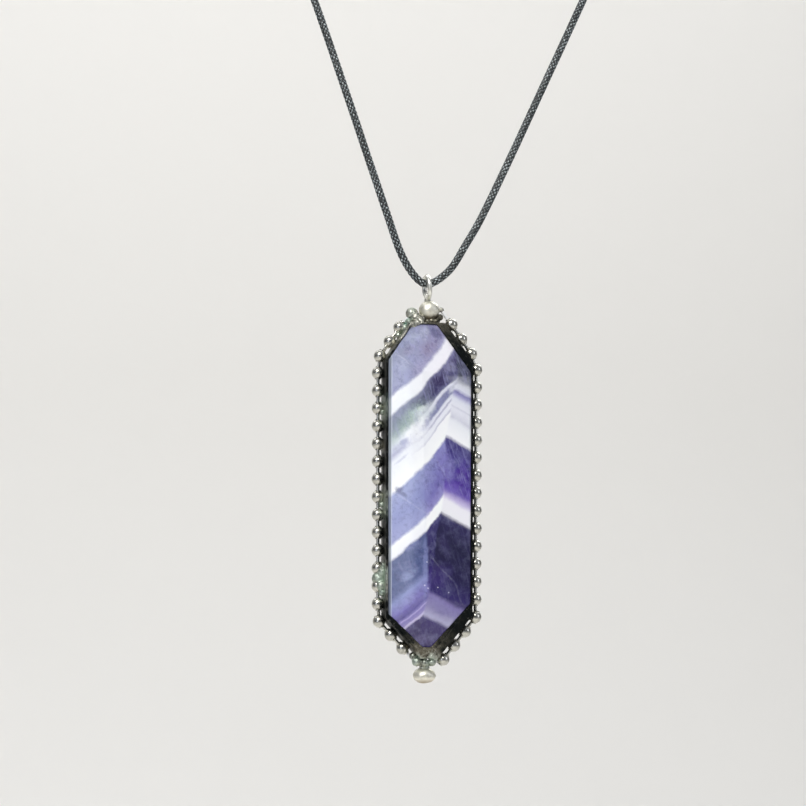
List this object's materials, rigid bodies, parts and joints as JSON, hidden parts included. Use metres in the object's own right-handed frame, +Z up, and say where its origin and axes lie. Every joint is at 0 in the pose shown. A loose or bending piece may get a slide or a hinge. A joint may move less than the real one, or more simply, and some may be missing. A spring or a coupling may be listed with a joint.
{
  "type": "crystal point pendant",
  "caption": "Double-pointed banded amethyst crystal, edged with a soldered band and ball chain, hanging by a wire ring from a braided cord worn round the neck.",
  "frame": {"origin": "middle of the wearer's neck, at the height where the cord passes its sides", "axes": "+Z up, -Y out of the front where the pendant hangs, +X to the right when looking at the front"},
  "size_m": [0.1134, 0.129, 0.2275],
  "materials": {
    "amethyst": "polished, white and violet chevron bands",
    "soldered_metal": "patinated solder over copper foil, silver ball chain",
    "waxed_cord": "waxed braided cotton",
    "clasp_metal": "satin"
  },
  "bodies": {
    "necklace": {"front_cord": "waxed_cord", "neck_cord_left": "waxed_cord", "neck_cord_right": "waxed_cord", "clasp": "clasp_metal"},
    "pendant": {"crystal": "amethyst", "soldered_setting": "soldered_metal"}
  },
  "joints": [
    {"name": "pendant_swing", "type": "hinge", "parent": "necklace", "child": "pendant", "pos_m": [-0.0125, -0.07, -0.132], "axis": [1, 0, 0], "range_deg": [-75, 75]}
  ]
}
